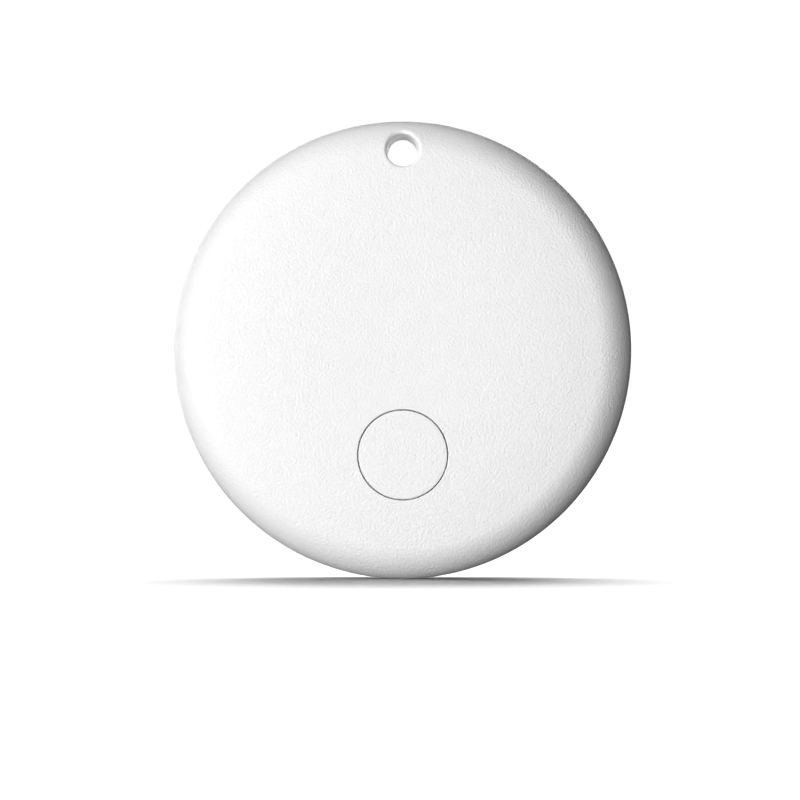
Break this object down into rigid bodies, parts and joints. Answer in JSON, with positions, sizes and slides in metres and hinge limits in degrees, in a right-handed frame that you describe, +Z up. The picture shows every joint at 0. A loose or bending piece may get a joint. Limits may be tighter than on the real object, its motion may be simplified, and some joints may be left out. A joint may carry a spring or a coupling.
{
  "type": "bluetooth tracker tag",
  "caption": "Round pebble-shaped tracker tag with a keyring hole at its edge, a flush round push button and a bayonet battery door at the back.",
  "frame": {"origin": "middle of the keyring hole, halfway through the tag's thickness", "axes": "front face with the button towards -Y, +Z up with the tag hanging from its hole, +X to the right as seen from the front"},
  "size_m": [0.04, 0.008, 0.04],
  "materials": {
    "shell_plastic": "spark-eroded satin white",
    "seal_rubber": "matt black",
    "board_laminate": "green solder mask",
    "chip_resin": "matt black",
    "tin_plate": "tinned",
    "spring_steel": "bright",
    "gold_plate": "gold-plated",
    "brass_plate": "bright",
    "copper_wire": "enamelled copper",
    "ceramic": "fired",
    "capacitor_ceramic": "fired brown",
    "tape": "matt white",
    "switch_plastic": "black",
    "cell_cathode_mass": "pressed powder",
    "cell_anode_metal": "soft metal"
  },
  "bodies": {
    "case": {"front_shell": "shell_plastic", "rear_shell": "shell_plastic", "switch_base": "switch_plastic", "switch_dome": "spring_steel", "switch_cover": "tin_plate", "buzzer_adhesive": "tape", "buzzer_plate": "brass_plate", "buzzer_ceramic": "ceramic", "buzzer_contact_plate": "gold_plate", "buzzer_contact_ceramic": "gold_plate", "circuit_board": "board_laminate", "radio_chip": "chip_resin", "radio_crystal": "tin_plate", "clock_crystal": "tin_plate", "motion_sensor": "chip_resin", "buzzer_driver": "chip_resin", "inductor_core": "chip_resin", "inductor_coil": "copper_wire", "antenna_trace": "copper_wire", "bulk_capacitor": "capacitor_ceramic", "negative_contact": "gold_plate", "positive_contact": "gold_plate", "capacitor_1": "capacitor_ceramic", "capacitor_2": "capacitor_ceramic", "capacitor_3": "capacitor_ceramic", "capacitor_4": "capacitor_ceramic", "capacitor_5": "capacitor_ceramic", "resistor_1": "chip_resin", "resistor_2": "chip_resin", "resistor_3": "chip_resin", "board_screw_1": "spring_steel", "board_screw_2": "spring_steel", "board_screw_3": "spring_steel", "board_screw_4": "spring_steel"},
    "button": {"button_cap": "shell_plastic"},
    "switch_stem": {"switch_stem": "switch_plastic"},
    "door_seal": {"door_seal": "seal_rubber"},
    "battery_door": {"battery_door": "shell_plastic"},
    "coin_cell": {"cell_can": "spring_steel", "cell_gasket": "seal_rubber", "cell_cap": "spring_steel", "cell_cathode": "cell_cathode_mass", "cell_separator": "tape", "cell_anode": "cell_anode_metal"}
  },
  "joints": [
    {"name": "button_press", "type": "slide", "parent": "case", "child": "button", "axis": [0, 1, 0], "range_m": [0, 0.0002], "stiffness_N_per_m": 6000},
    {"name": "switch_stem_press", "type": "slide", "parent": "case", "child": "switch_stem", "axis": [0, 1, 0], "range_m": [0, 0.0002], "deforming": ["switch_dome"]},
    {"name": "door_lift", "type": "slide", "parent": "case", "child": "door_seal", "axis": [0, 1, 0], "range_m": [0, 0.00285]},
    {"name": "door_turn", "type": "hinge", "parent": "door_seal", "child": "battery_door", "pos_m": [0, 0, -0.0173], "axis": [0, 1, 0], "range_deg": [0, 90]},
    {"name": "cell_rise", "type": "slide", "parent": "case", "child": "coin_cell", "axis": [0, 1, 0], "range_m": [0, 0.0008], "deforming": ["negative_contact"]}
  ],
  "couplings": [
    {"joint": "switch_stem_press", "follows": "button_press", "ratio": 1},
    {"joint": "door_turn", "follows": "door_lift", "rad_per_m": 551.16},
    {"joint": "cell_rise", "follows": "door_lift", "ratio": 0.2807}
  ]
}
